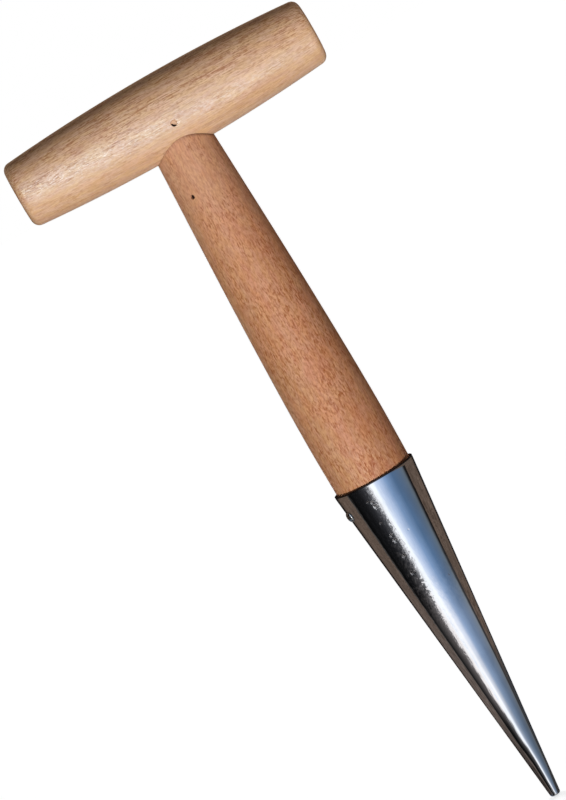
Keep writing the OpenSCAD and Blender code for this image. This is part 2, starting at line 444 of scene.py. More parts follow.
# Ray flecks: their depth towards the pith in mm, their edge, how many show and how strong they are
FLECK_DEPTH = 5.0
FLECK_EDGE = (0.42, 0.08)
FLECK_PICK = (0.05, 0.45)
FLECK_STRENGTH = (0.4, 1.0)
# Distance past the middle of the piece, in mm, over which the marked side comes in
FIGURE_EDGE = (-1.0, 9.0)
# Strength of the marks outside the patches and in them, and what the pale dashes take back of the dark
PATCH_STRENGTH = (0.7, 1.25)
PALE_SHARE = 0.8
# Tone of plain wood between dark and light, and what blush and straw multiply its colour by
PLAIN_TONE = 0.80
PLAIN_TINT = (1.0, 1.0, 1.0, 1)
BLUSH_TINT = (1.0, 0.91, 0.88, 1)
COOL_TINT = (0.985, 1.0, 1.06, 1)
STRAW_TINT = (1.0, 1.01, 0.91, 1)
# End grain: how squarely a face has to cut the grain, and how dark its early and late wood turn
END_FACING = (0.72, 0.98)
END_DARK = (0.2, 0.6)
# Roughness that each mark adds, and that glints take away
DASH_ROUGH = 0.05
FINE_ROUGH = 0.06
END_ROUGH = 0.12
GLINT_POLISH = 0.14
# Relief of the marks, how strongly it shows, and the depth of a relief of 1, here and on the steel
PALE_RELIEF = 0.4
DARK_RELIEF = 0.5
RELIEF_STRENGTH = 0.3
RELIEF = 0.05 * MM


@dataclass
class Grain:
    """How the grain of one piece of beech lies, and how strongly its marks show. Sizes are in mm."""

    axis: str
    centre: tuple
    turns: tuple
    figure: tuple
    pith: float = 70.0
    line_size: tuple = (0.62, 2.2)
    dash_size: tuple = (0.40, 1.3)
    dashes: float = 0.34
    fleck_size: tuple = (1.0, 2.6)
    flecks: float = 0.3
    rings: float = 0.1
    mottle: float = 0.5
    drift: float = 0.35
    plain: float = 0.6
    blush: float = 1.0


def beech_finish(name, wood, grain, tints_and_painted_light=None):
    """Turned beech: growth rings round a pith outside the piece, ray flecks and short dashes of pores.

    The pattern is worked out in millimetres, with its third axis along the grain and the pith at zero."""
    material, wire = new_finish(name)
    here = wire.node("ShaderNodeTexCoord", out="Object")
    facing = wire.node("ShaderNodeTexCoord", out="Normal").parts()["XYZ".index(grain.axis)]
    turned = Matrix.Identity(3)
    for axis, degree in grain.turns:
        turned = Matrix.Rotation(radians(degree), 3, axis) @ turned
    shift = Vector((grain.pith, 0, 0)) - turned @ (Vector(grain.centre) / MM)
    x, y, along = wire.node("ShaderNodeMapping", inputs={
        "Vector": here, "Location": shift, "Rotation": turned.to_euler(), "Scale": (1 / MM,) * 3}).parts()

    # The grain wanders a little, so that no streak is dead straight
    wander = wire.noise(WANDER, x, y, along) - MIDDLE
    across = x + WANDER_IN * wander
    side = y + WANDER_ASIDE * wander
    radial = (across * across + side * side) ** 0.5
    around = wire.maths("ARCTAN2", side, across) * grain.pith
    ring = wire.maths("FRACT", (radial + WANDER_RINGS * wander) / RING_WIDTH)
    late = ring.step(*LATE_START) * ring.step(*LATE_END)

    # The marks show most on the side where the saw has met the rays, and there in patches
    middle = Vector(grain.centre).dot(Vector(grain.figure)) / MM
    toward = wire.node("ShaderNodeVectorMath", {"operation": "DOT_PRODUCT"}, {
        0: in_millimetres(wire), 1: grain.figure}, out="Value")
    figured = (toward - middle).step(*FIGURE_EDGE).between(grain.plain, 1.0)
    figured = figured * wire.noise(PATCHES, x, y, along).between(*PATCH_STRENGTH)

    def dashes(size, shift):
        """Marks of a width and a length along the grain."""
        return wire.noise(Field(*size, shift=shift, edge=DASH_EDGE), across, side, along)

    def ray_flecks(width, height):
        """Flecks that are thin round the pith, deep towards it and a little long up the grain."""
        at = wire.join(around / width, radial / FLECK_DEPTH, along / height)
        pick, weight, _ = wire.cells(at, "Color").parts()
        spots = wire.cells(at, "Distance").step(*FLECK_EDGE)
        return spots * pick.step(*FLECK_PICK) * weight.between(*FLECK_STRENGTH)

    dark_flecks = ray_flecks(*grain.fleck_size)
    dark_dashes = dashes(grain.line_size, 0.0)
    fine_dashes = dashes(grain.dash_size, FINE_SHIFT)
    pale_dashes = dashes(grain.line_size, PALE_SHIFT)
    glints = wire.noise(GLINTS, across, side, along)

    marks = grain.dashes * (dark_dashes + fine_dashes - PALE_SHARE * pale_dashes)
    marks = marks + grain.flecks * dark_flecks
    tone = PLAIN_TONE + grain.mottle * (wire.noise(MOTTLE, x, y, along) - MIDDLE)
    tone = tone + grain.drift * (wire.noise(DRIFT, x, y, along) - MIDDLE)
    tone = tone - grain.rings * late - figured * marks
    base = wire.mix(wire.node("ShaderNodeClamp", inputs={0: tone}), wood.dark, wood.light)
    redder = wire.mix(grain.blush * wire.noise(BLUSH, x, y, along), PLAIN_TINT, BLUSH_TINT)
    yellower = wire.mix(wire.noise(STRAW, x, y, along), COOL_TINT, STRAW_TINT)
    base = wire.mix(1.0, base, wire.mix(1.0, redder, yellower, "MULTIPLY"), "MULTIPLY")

    # End grain drinks the lacquer, so it is darker and duller, and its rings show
    end = abs(facing).step(*END_FACING)
    base = wire.mix(end * late.between(*END_DARK), base, wood.dark)
    # Tints and painted light that a piece adds, such as the shaft's painted sheen and painted shade
    if tints_and_painted_light:
        base = tints_and_painted_light(wire, base)
    roughness = wood.rough + DASH_ROUGH * dark_dashes + FINE_ROUGH * fine_dashes
    roughness = roughness + END_ROUGH * end - GLINT_POLISH * glints
    height = PALE_RELIEF * pale_dashes - DARK_RELIEF * (dark_dashes + dark_flecks + fine_dashes)
    surface(wire, Base_Color=base, Roughness=roughness, Specular_IOR_Level=wood.gloss,
            Normal=wire.bump(height, RELIEF, RELIEF_STRENGTH))
    return material


# Tints and painted light on the shaft. Its places are in mm: along +X, up from the crossbar's axis, and
# out from its side
YELLOW_SIDE = (-1.0, -9.0)
YELLOW_TINT = (1.0, 1.09, 1.10, 1)
# A painted sheen that makes the top of the shaft paler: where it comes in, how much of it, and its colour
PAINTED_SHEEN_TOP = (-62.0, -20.0)
PAINTED_SHEEN_SHARE = 0.2
PAINTED_SHEEN = tint(219, 178, 150)
# A dark glue line under the crossbar, deepened with painted shade in the crease and darker towards +X,
# away from the key light: its edge, its side, how much of it, and its colour
GLUE_AND_SHADE_LINE = (1.1, 0.0)
GLUE_AND_SHADE_SIDE = (-4.0, 9.0)
GLUE_AND_SHADE_SHARE = (0.2, 0.7)
GLUE_AND_SHADE = tint(78, 46, 30)


def shaft_tints_and_painted_light(bar):
    """Yellower towards -X, a painted sheen on the top, and a glue line with painted shade, darkest towards
    +X.
    """
    def tints_and_painted_light(wire, base):
        x, y, z = in_millimetres(wire).parts()
        up = z - BAR_Z / MM
        gap = (y * y + up * up) ** 0.5 - bar.middle_d / 2 / MM
        base = wire.mix(x.step(*YELLOW_SIDE), base, YELLOW_TINT, "MULTIPLY")
        # Painted sheen: the top of the shaft turns paler
        base = wire.mix(PAINTED_SHEEN_SHARE * up.step(*PAINTED_SHEEN_TOP), base, PAINTED_SHEEN)
        # Glue line and painted shade in the crease under the crossbar, darkest towards +X
        return wire.mix(gap.step(*GLUE_AND_SHADE_LINE) * x.step(*GLUE_AND_SHADE_SIDE).between(*GLUE_AND_SHADE_SHARE), base, GLUE_AND_SHADE)
    return tints_and_painted_light


# Noise in the polish, in mm round the cone and along it
SMUDGES = Field(9.0, 16.0, detail=4.0, roughness=0.6)
WAVES = Field(6.0, 22.0, detail=2.0)
STREAKS = Field(0.7, 2.4)
RAGGED = Field(1 / 3, 0.625, detail=2.0)
# How strong a smudge has to be before it dulls the steel, and before it roughens it
SMUDGE_DULL = (0.4, 0.7)
SMUDGE_ROUGH = (0.5, 0.75)
# The streaks come in with the height and towards -X, in mm, and a share of them is on the other side
RUBBED_RISE = (50.0, 95.0)
RUBBED_SIDE = (3.0, -4.0)
RUBBED_SHARE = (0.3, 1.0)
# Shares of a nick's radius: how ragged its rim is, and how wide its floor is
NICK_RAGGED = 0.8
NICK_FLOOR = 0.1
# The ground tip, the heat marks beside the seam, and a dark band under the mouth, partly cut edge and
# partly painted shadow, in mm
GROUND_TIP = (6.0, 1.0)
SEAM_HEAT = (2.2, 0.2)
CUT_EDGE_AND_SHADOW = (-0.58, -0.40)
HEAT_SHARE = 0.35
HEAT = tint(150, 134, 112)
# The band under the mouth is partly the cut edge and partly painted shadow of the gap there
CUT_AND_SHADOW_SHARE = 0.94
CUT_AND_SHADOW = tint(34, 24, 22)
# Roughness that each of them adds
SMUDGE_ADDS = 0.04
GROUND_ADDS = 0.08
HEAT_ADDS = 0.12
CUT_AND_SHADOW_ADDS = 0.4
# Relief of the waves, the streaks and the nicks
WAVE_RELIEF = 0.3
STREAK_RELIEF = 0.42
NICK_RELIEF = 1.4


def polished_steel_finish(name, cone):
    """Polished sheet steel with smudges, slow waves, streaks, nicks, and a dark band at the mouth that is
    partly cut edge and partly painted shadow.
    """
    material, wire = new_finish(name)
    here = in_millimetres(wire)
    x, y, z = here.parts()
    round_z = wire.maths("ARCTAN2", y, x)
    from_seam = abs(wire.maths("WRAP", round_z - (cone.seam_turn - 2 * pi), pi, -pi))
    seam_gap = from_seam * (x * x + y * y) ** 0.5

    smudges = wire.noise(SMUDGES, x, y, z)
    waves = wire.noise(WAVES, x, y, z)
    rubbed = z.step(*RUBBED_RISE) * x.step(*RUBBED_SIDE).between(*RUBBED_SHARE)
    streaks = rubbed * (wire.noise(STREAKS, x, y, z) - MIDDLE)
    ragged = NICK_RAGGED * (wire.noise(RAGGED, x, y, z) - MIDDLE)
    nicks = 0.0
    for rise, turn, radius in NICKS:
        spot = on_cone(cone, rise * MM, radians(turn) - pi / 2).translation / MM
        away = wire.node("ShaderNodeVectorMath", {"operation": "DISTANCE"}, {0: here, 1: spot}, "Value")
        nicks = nicks + radius * (away + radius * ragged).step(radius, NICK_FLOOR * radius)

    ground_tip = z.step(*GROUND_TIP)
    seam_heat = seam_gap.step(*SEAM_HEAT)
    # Partly the cut edge and partly painted shadow of the gap at the mouth
    cut_edge_and_shadow = (z - cone.length / MM).step(*CUT_EDGE_AND_SHADOW)
    base = wire.mix(smudges.step(*SMUDGE_DULL), cone.bright, cone.smudged)
    base = wire.mix(HEAT_SHARE * seam_heat, base, HEAT)
    base = wire.mix(CUT_AND_SHADOW_SHARE * cut_edge_and_shadow, base, CUT_AND_SHADOW)
    roughness = cone.rough + SMUDGE_ADDS * smudges.step(*SMUDGE_ROUGH) + GROUND_ADDS * ground_tip
    roughness = roughness + HEAT_ADDS * seam_heat + CUT_AND_SHADOW_ADDS * cut_edge_and_shadow
    height = WAVE_RELIEF * waves + STREAK_RELIEF * streaks - NICK_RELIEF * nicks
    surface(wire, Base_Color=base, Metallic=1.0, Roughness=roughness, Normal=wire.bump(height, RELIEF))
    return material


# Hammer marks on the nail and grains in the brads' skin, in mm
HAMMER_MARKS = Field(0.8, 0.8, detail=2.0)
HAMMER_EDGE = (0.35, 0.7)
HAMMER_ROUGH = (0.1, 0.25)
HAMMER_RELIEF = 0.2 * MM
HAMMERED = tint(128, 124, 120)
SKIN_GRAINS = Field(0.35, 0.35, detail=3.0)
SKIN_EDGE = (0.3, 0.7)
SKIN_METAL = (0.3, 0.1)
SKIN_ROUGH = (0.6, 0.9)
SKIN_GLOSS = 0.2
RUST = tint(52, 32, 24)
# Dust over the upper part of the crossbar's brad, where light falls into the pit, so also painted light:
# the direction it comes from in X and Z, how ragged its edge is, the edge itself, and how far in front of
# the underside of the brad's head it comes in, in mm
DUST_AND_LIGHT_FROM = (0.62, 0.78)
DUST_AND_LIGHT_RAGGED = 0.5
DUST_AND_LIGHT_EDGE = (-0.5, 0.0)
DUST_AND_LIGHT_DEPTH = (0.0, 0.3)


def nail_steel_finish(name, nail):
    """Bright nail wire, hammered a little on its head."""
    material, wire = new_finish(name)
    marks = wire.noise(HAMMER_MARKS, *in_millimetres(wire).parts())
    base = wire.mix(marks.step(*HAMMER_EDGE), nail.steel, HAMMERED)
    surface(wire, Base_Color=base, Metallic=1.0, Roughness=marks.between(*HAMMER_ROUGH),
            Normal=wire.bump(marks, HAMMER_RELIEF))
    return material


def brad_finish(name, nail, dust_and_light_at=None):
    """A brad under its dark skin, pale over the upper part of its head where it is dusty: sawdust, and
    painted light where light falls into the pit.
    """
    material, wire = new_finish(name)
    x, y, z = in_millimetres(wire).parts()
    grains = wire.noise(SKIN_GRAINS, x, y, z)
    base = wire.mix(grains.step(*SKIN_EDGE), nail.oxide, RUST)
    metallic = grains.between(*SKIN_METAL)
    if dust_and_light_at:
        head = dust_and_light_at / MM
        over = DUST_AND_LIGHT_FROM[0] * (x - head.x) + DUST_AND_LIGHT_FROM[1] * (z - head.z) + DUST_AND_LIGHT_RAGGED * (grains - MIDDLE)
        front = (head.y + 2 * nail.brad_set / MM - y).step(*DUST_AND_LIGHT_DEPTH)
        # Sawdust on the upper side of the head, which is also painted light where light falls into the pit
        dust_and_light = front * over.step(*DUST_AND_LIGHT_EDGE)
        base = wire.mix(dust_and_light, base, nail.filler_and_light)
        metallic = metallic * (1 - dust_and_light)
    surface(wire, Base_Color=base, Metallic=metallic, Roughness=grains.between(*SKIN_ROUGH),
            Specular_IOR_Level=SKIN_GLOSS)
    return material


# Mesh tools


def arc(centre, radius, start, end, steps):
    """Points on an arc, from one angle to another."""
    turns = [start + (end - start) * i / steps for i in range(steps + 1)]
    return [(centre[0] + radius * cos(turn), centre[1] + radius * sin(turn)) for turn in turns]


def rounded(before, corner, after, steps):
    """Points that round a corner between the middles of the two lines that meet there."""
    before, corner, after = Vector(before), Vector(corner), Vector(after)
    start, end = (before + corner) / 2, (corner + after) / 2
    curve = []
    for i in range(steps + 1):
        t = i / steps
        curve.append(tuple(start * (1 - t) ** 2 + corner * 2 * t * (1 - t) + end * t ** 2))
    return curve


def line(start, end, steps):
    """Points along a straight line."""
    return [tuple(Vector(start).lerp(Vector(end), i / steps)) for i in range(steps + 1)]


def lathe(outline, steps=TURN_STEPS, matrix=None):
    """Spin an outline of (radius, height) points about Z, close its poles and put it in its place."""
    bm = bmesh.new()
    points = [bm.verts.new((radius, 0, height)) for radius, height in outline]
    edges = [bm.edges.new(pair) for pair in zip(points, points[1:])]
    bmesh.ops.spin(bm, geom=points + edges, cent=(0, 0, 0), axis=(0, 0, 1), dvec=(0, 0, 0),
                   angle=2 * pi, steps=steps, use_merge=True)
    bmesh.ops.remove_doubles(bm, verts=bm.verts, dist=WELD)
    if matrix:
        bmesh.ops.transform(bm, matrix=matrix, verts=bm.verts)
    bmesh.ops.recalc_face_normals(bm, faces=bm.faces)
    return bm


def new_object(name, bm):
    """An object at the origin that holds the mesh."""
    mesh = bpy.data.meshes.new(name)
    bm.to_mesh(mesh)
    bm.free()
    made = bpy.data.objects.new(name, mesh)
    bpy.context.scene.collection.objects.link(made)
    return made


def cut(piece, *cutters):
    """Take each cutter out of a piece, and keep the result as the piece's mesh."""
    tools = [new_object("cutter", bm) for bm in cutters]
    for tool in tools:
        boolean = piece.modifiers.new("Cut", "BOOLEAN")
        boolean.operation = "DIFFERENCE"
        boolean.solver = "EXACT"
        boolean.object = tool
    whole = piece.data
    graph = bpy.context.evaluated_depsgraph_get()
    piece_cut = bpy.data.meshes.new_from_object(piece.evaluated_get(graph))
    piece.modifiers.clear()
    piece.data = piece_cut
    bpy.data.meshes.remove(whole)
    for tool in tools:
        bpy.data.objects.remove(tool)


def hide_from(made, *rays):
    """Keep an object or a lamp out of these kinds of rays."""
    for ray in rays:
        setattr(made, "visible_" + ray, False)


def finish_piece(piece, node, material):
    """Shade a piece, give it its finish, and let it stand for its node."""
    piece.data.materials.clear()
    piece.data.materials.append(material)
    piece.data.polygons.foreach_set("use_smooth", [True] * len(piece.data.polygons))
    piece.data.set_sharp_from_angle(angle=CRISP)
    corners = [Vector(corner) for corner in piece.bound_box]
    low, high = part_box(node)
    for axis in range(3):
        lowest = min(corner[axis] for corner in corners)
        highest = max(corner[axis] for corner in corners)
        if abs(lowest - low[axis]) > SEAT_TOLERANCE or abs(highest - high[axis]) > SEAT_TOLERANCE:
            raise RuntimeError(f"{piece.name} isn't where {node} is")
    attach(piece, BODY)
    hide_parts(node)


def dress_node(node, material):
    """Give a node that keeps its own mesh a better finish."""
    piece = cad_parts[node]
    piece.data.materials.clear()
    piece.data.materials.append(material)


# Shapes that more than one piece shares


def bar_body(bar, grow=0.0):
    """The crossbar's outside, a barrel curve with rounded rims, grown by a gap."""
    half = bar.length / 2
    sag = (bar.middle_d - bar.end_d) / 2
    barrel_r = (half ** 2 + sag ** 2) / (2 * sag)
    axis = bar.middle_d / 2 - barrel_r
    rim_along = half - bar.rim_r
    reach = barrel_r - bar.rim_r
    rim_radius = axis + sqrt(reach ** 2 - rim_along ** 2)
    lean = asin(rim_along / reach)
    outline = [(0, -half - grow)]
    outline += arc((rim_radius, -rim_along), bar.rim_r + grow, -pi / 2, -lean, CORNER_STEPS)
    outline += arc((axis, 0), barrel_r + grow, -lean, lean, 2 * CURVE_STEPS)[1:-1]
    outline += arc((rim_radius, rim_along), bar.rim_r + grow, lean, pi / 2, CORNER_STEPS)
    outline += [(0, half + grow)]
    return lathe(outline, matrix=Matrix.Translation((0, 0, BAR_Z)) @ Matrix.Rotation(pi / 2, 4, "Y"))


def at_bar_brad(bar):
    """The place of the crossbar's brad, with +Z out of the wood."""
    depth = sqrt((bar.middle_d / 2) ** 2 - bar.brad_drop ** 2)
    seat = Matrix.Translation((bar.brad_shift, -depth, BAR_Z - bar.brad_drop))
    return seat @ Matrix.Rotation(pi / 2, 4, "X")


def at_shaft_brad(shaft, bar):
    """The place of the shaft's brad, with +Z out of the wood."""
    height = BAR_Z - shaft.brad_drop
    turn = Matrix.Rotation(-pi / 2 - shaft.brad_turn, 4, "Z")
    seat = Matrix.Translation((taper_radius(shaft, bar, height), 0, height))
    return turn @ seat @ Matrix.Rotation(pi / 2, 4, "Y")


def taper_radius(shaft, bar, height):
    """Radius of the straight upper taper of the shaft."""
    neck_z = BAR_Z - bar.middle_d / 2
    bend_z = CONE_HIGH.z + shaft.bend_rise
    slope = (shaft.bend_d - shaft.neck_d) / 2 / (neck_z - bend_z)
    return shaft.neck_d / 2 + (neck_z - height) * slope


def cone_slope(cone):
    """Radius that the cone gains with height."""
    return (cone.mouth_d - cone.tip_d) / 2 / cone.length


def cone_radius(cone, height):
    """Outer radius of the cone."""
    return cone.tip_d / 2 + cone_slope(cone) * height


def bore_radius(cone, height):
    """Inner radius of the cone."""
    return cone_radius(cone, height) - cone.sheet / cos(atan(cone_slope(cone)))


def on_cone(cone, height, turn):
    """A place on the outside of the cone, with +Z out of the metal and +X towards the tip."""
    seat = Matrix.Translation((cone_radius(cone, height), 0, height))
    lean = Matrix.Rotation(pi / 2 + atan(cone_slope(cone)), 4, "Y")
    return Matrix.Rotation(turn, 4, "Z") @ seat @ lean


def at_cone_nail(cone, nail):
    """The place of the cone's nail."""
    return on_cone(cone, cone.length - nail.drop, pi + nail.turn)


def brad_hole(nail, dowel, head_d, matrix):
    """The hole of a driven brad, under the dished pit that the nail set leaves."""
    head = head_d / 2 + dowel.nail_gap
    shank = nail.brad_d / 2 + dowel.nail_gap
    head_bottom = -2 * nail.brad_set - dowel.nail_gap
    bottom = -nail.brad_set - nail.brad_length - dowel.nail_gap
    flare = nail.pit_flare
    outline = [(0, bottom), (shank, bottom), (shank, head_bottom), (head, head_bottom)]
    outline += [(head + flare * (1 - cos(turn)), -DISH_DEPTH * nail.brad_set * (1 - sin(turn)))
                for turn in [pi / 2 * i / CORNER_STEPS for i in range(CORNER_STEPS + 1)]]
    outline += [(head + DISH_REACH * flare, PAST), (0, PAST)]
    return lathe(outline, PIT_STEPS, matrix)


def nail_hole(nail, dowel, matrix):
    """The hole for the shank of the cone's nail."""
    radius = nail.shank_d / 2 + dowel.nail_gap
    bottom = -nail.shank - dowel.nail_gap
    return lathe([(0, bottom), (radius, bottom), (radius, PAST), (0, PAST)], SHANK_STEPS, matrix)


def dowel_hole(dowel):
    """The blind hole that takes the dowel."""
    radius = dowel.diameter / 2 + dowel.glue_gap
    bottom, top = DOWEL_LOW.z - dowel.glue_gap, DOWEL_HIGH.z + dowel.glue_gap
    return lathe([(0, bottom), (radius, bottom), (radius, top), (0, top)], DOWEL_STEPS)


# Pieces


class DIBBER_OT_crossbar(bpy.types.Operator):
    """Model the turned crossbar"""

    bl_idname = "dibber.crossbar"
    bl_label = "Crossbar"

    def execute(self, context):
        settings = context.scene.dibber
        bar = settings.crossbar
        piece = new_object("turned_crossbar", bar_body(bar))
        nail, dowel = settings.nail, settings.dowel
        cut(piece, dowel_hole(dowel), brad_hole(nail, dowel, nail.bar_head_d, at_bar_brad(bar)))
        grain = Grain(
            axis="X", centre=(0, 0, BAR_Z), turns=(("Y", -90), ("Z", 75)), figure=(0, -0.3, 0.95),
            line_size=(0.44, 9.0), dash_size=(0.42, 1.4), dashes=0.43, fleck_size=(1.0, 4.2), flecks=0.2,
            rings=0.12, mottle=0.3, drift=0.12, plain=0.45, blush=0.5)
        finish_piece(piece, "crossbar", beech_finish("pale_beech", bar, grain))
        return {"FINISHED"}


class DIBBER_OT_shaft(bpy.types.Operator):
    """Model the turned shaft, with its saddle for the crossbar and its nose for the cone"""

    bl_idname = "dibber.shaft"
    bl_label = "Shaft"

    def execute(self, context):
        settings = context.scene.dibber
        shaft, bar, cone, nail, dowel = (
            settings.shaft, settings.crossbar, settings.cone, settings.nail, settings.dowel)

        def nose(height):
            return bore_radius(cone, height) - dowel.nose_gap

        nose_z = SHAFT_LOW.z
        chamfer_z = nose_z + shaft.nose_chamfer
        neck_z = BAR_Z - bar.middle_d / 2
        mouth = (nose(cone.length), cone.length)
        swell = (shaft.swell_d / 2, cone.length + shaft.swell_rise)
        bend = (shaft.bend_d / 2, cone.length + shaft.bend_rise)
        neck = (shaft.neck_d / 2, neck_z)
        outline = [(0, nose_z), (nose(nose_z) - shaft.nose_chamfer, nose_z)]
        outline += [(nose(chamfer_z), chamfer_z), mouth]
        outline += rounded(mouth, swell, bend, CURVE_STEPS)
        outline += rounded(swell, bend, neck, CURVE_STEPS)[1:]
        outline += [(taper_radius(shaft, bar, BAR_Z), BAR_Z), (0, BAR_Z)]
        piece = new_object("turned_shaft", lathe(outline))
        cut(piece, bar_body(bar, dowel.glue_gap), dowel_hole(dowel),
            brad_hole(nail, dowel, nail.shaft_head_d, at_shaft_brad(shaft, bar)),
            nail_hole(nail, dowel, at_cone_nail(cone, nail)))
        grain = Grain(
            axis="Z", centre=(0, 0, 0), turns=(("Z", 70),), figure=(0.9, -0.4, 0), rings=0.06, plain=0.9)
        material = beech_finish("red_beech", shaft, grain, shaft_tints_and_painted_light(bar))
        finish_piece(piece, "shaft", material)
        return {"FINISHED"}


class DIBBER_OT_steel_cone(bpy.types.Operator):
    """Model the rolled steel cone, with its seam, its bent lip and its ground tip"""

    bl_idname = "dibber.steel_cone"
    bl_label = "Steel cone"

    def execute(self, context):
        settings = context.scene.dibber
        cone = settings.cone
        lean = atan(cone_slope(cone))
        tip_centre = (cone_radius(cone, cone.tip_r) - cone.tip_r / cos(lean), cone.tip_r)
        tip_edge = (cone_radius(cone, 2 * cone.tip_r), 2 * cone.tip_r)
        bend_z = cone.length - cone.lip_bend
        bend_r = cone.lip_bend / sin(cone.lip_lean)
        bend_at = (cone_radius(cone, bend_z), bend_z)
        bend_centre = (bend_at[0] - bend_r * cos(lean), bend_at[1] + bend_r * sin(lean))
        lip_turn = -lean + cone.lip_lean - asin(cone.lip_r / bend_r)
        lip = arc(bend_centre, bend_r, -lean, lip_turn, CORNER_STEPS)
        lip_centre = (lip[-1][0] - cone.lip_r * cos(lip_turn), cone.length - cone.lip_r)
        inner_lip = bore_radius(cone, cone.length - cone.lip_r) + cone.lip_r
        outline = [(0, 0)] + arc(tip_centre, cone.tip_r, -pi / 2, -lean, CORNER_STEPS)
        outline += line(tip_edge, bend_at, 4 * CURVE_STEPS) + lip[1:]
        outline += arc(lip_centre, cone.lip_r, lip_turn, pi / 2, CORNER_STEPS)[1:]
        outline += arc((inner_lip, cone.length - cone.lip_r), cone.lip_r, pi / 2, pi, CORNER_STEPS)
        outline += [(bore_radius(cone, cone.tip_fill), cone.tip_fill), (0, cone.tip_fill)]
        bm = lathe(outline)
        self.score_seam(bm, cone)
        self.grind_flat(bm, cone)
        piece = new_object("rolled_cone", bm)
        cut(piece, nail_hole(settings.nail, settings.dowel, at_cone_nail(cone, settings.nail)))
        material = polished_steel_finish("polished_sheet_steel", cone)
        finish_piece(piece, "steel_cone", material)
        return {"FINISHED"}

    def score_seam(self, bm, cone):
        """Press a fine groove along the butt seam, fading out in the weld at the tip."""
        out = Vector((cos(cone.seam_turn), sin(cone.seam_turn), 0))
        beside = Vector((-out.y, out.x, 0))

        def outer(vert):
            in_sheet = bore_radius(cone, vert.co.z) + cone.sheet / 2
            return vert.co.dot(out) > 0 and vert.co.xy.length > in_sheet

        for offset in (-cone.seam_w / 2, 0, cone.seam_w / 2):
            faces = [face for face in bm.faces if all(outer(vert) for vert in face.verts)]
            edges = {edge for face in faces for edge in face.edges}
            verts = {vert for face in faces for vert in face.verts}
            bmesh.ops.bisect_plane(bm, geom=[*verts, *edges, *faces], dist=ON_PLANE,
                                   plane_co=beside * offset, plane_no=beside)
        for vert in bm.verts:
            if outer(vert) and abs(vert.co.dot(beside)) < WELD:
                fade = min(1, max(0, (vert.co.z - cone.tip_fill / 2) / cone.tip_fill))
                vert.co -= out * cone.seam_depth * fade

    def grind_flat(self, bm, cone):
        """Grind a small flat on one side of the tip."""
        start = on_cone(cone, cone.flat_length, cone.flat_turn)
        plane = start @ Matrix.Rotation(atan(cone.flat_depth / cone.flat_length), 4, "Y")
        normal = plane.to_3x3() @ Vector((0, 0, 1))
        near = [face for face in bm.faces if face.calc_center_median().z < 2 * cone.flat_length]
        edges = {edge for face in near for edge in face.edges}
        verts = {vert for face in near for vert in face.verts}
        bmesh.ops.bisect_plane(bm, geom=[*verts, *edges, *near], dist=ON_PLANE, clear_outer=True,
                               plane_co=plane.translation, plane_no=normal)
        bmesh.ops.holes_fill(bm, edges=[edge for edge in bm.edges if edge.is_boundary])
        bmesh.ops.recalc_face_normals(bm, faces=bm.faces)


class DIBBER_OT_cone_nail(bpy.types.Operator):
    """Model the domed nail that holds the cone"""

    bl_idname = "dibber.cone_nail"
    bl_label = "Cone nail"

    def execute(self, context):
        settings = context.scene.dibber
        nail = settings.nail
        shank = nail.shank_d / 2
        outline = [(0, -nail.shank), (shank, nail.point - nail.shank), (shank, 0)]
        outline += [(nail.head_d / 2 * across, nail.head_h * up)
                    for across, up in arc((0, 0), 1, 0, pi / 2, 2 * CORNER_STEPS)]
        piece = new_object("domed_nail", lathe(outline, HEAD_STEPS, at_cone_nail(settings.cone, nail)))
        finish_piece(piece, "cone_nail", nail_steel_finish("nail_wire", nail))
        return {"FINISHED"}


class DIBBER_OT_dowel_joint(bpy.types.Operator):
    """Finish the dowel and the two set brads, which keep the meshes of their nodes"""

    bl_idname = "dibber.dowel_joint"
    bl_label = "Dowel joint"

    def execute(self, context):
        settings = context.scene.dibber
        grain = Grain(axis="Z", centre=(0, 0, 0), turns=(("Z", 20),), figure=(1, 0, 0), pith=40.0)
        dress_node("joint_dowel", beech_finish("bare_beech", settings.dowel, grain))
        bar_head = at_bar_brad(settings.crossbar).translation
        dress_node("crossbar_brad", brad_finish("dusty_lit_brad", settings.nail, dust_and_light_at=bar_head))
        dress_node("shaft_brad", brad_finish("dark_brad", settings.nail))
        return {"FINISHED"}


# Cards that the steel mirrors


class Change(NamedTuple):
    """An amount that comes in between two places."""

    amount: float
    start: float
    end: float


class Band(NamedTuple):
    """A part of the cards: its strength, and the edges over which it comes in by turn and by height."""

    strength: float
    turns: tuple = ()
    heights: tuple = ()


class Touch(NamedTuple):
    """A colour laid over bands of the cards, and broken up by their texture where it is textured."""

    shade: tuple
    bands: tuple
    blend: str = "MIX"
    textured: bool = False


# Radius of the cards in metres
CARDS_RADIUS = 3.0
# Turns on the cards are in degrees from the front towards +X, and heights in mm on the cone, where the
# camera sees that part of the cards. The rise on the cards that shows at the foot of the cone, in degrees,
# how it curves up with the turn, and how much it gains with each mm
FOOT_RISE = -24.1
RISE_CURVE = 0.00043
RISE_PER_MM = 0.0623
HALF_TURN = 180
# Towards the tip the view swings round, differently on the left and on the right, but not at the rear
LEFT_SWINGS = (Change(14, 90, 20), Change(22, 25, 13))
LEFT_EASE = Change(0.5, -100, -20)
RIGHT_SWING = Change(20, 100, 30)
RIGHT_SIDE = (0, 70)
SWING_LAG = 0.8
SWING_END = (150, 110)
# The middle of the front in degrees, and how far it reaches on both sides
FRONT_MIDDLE = -1
FRONT_REACH = 96

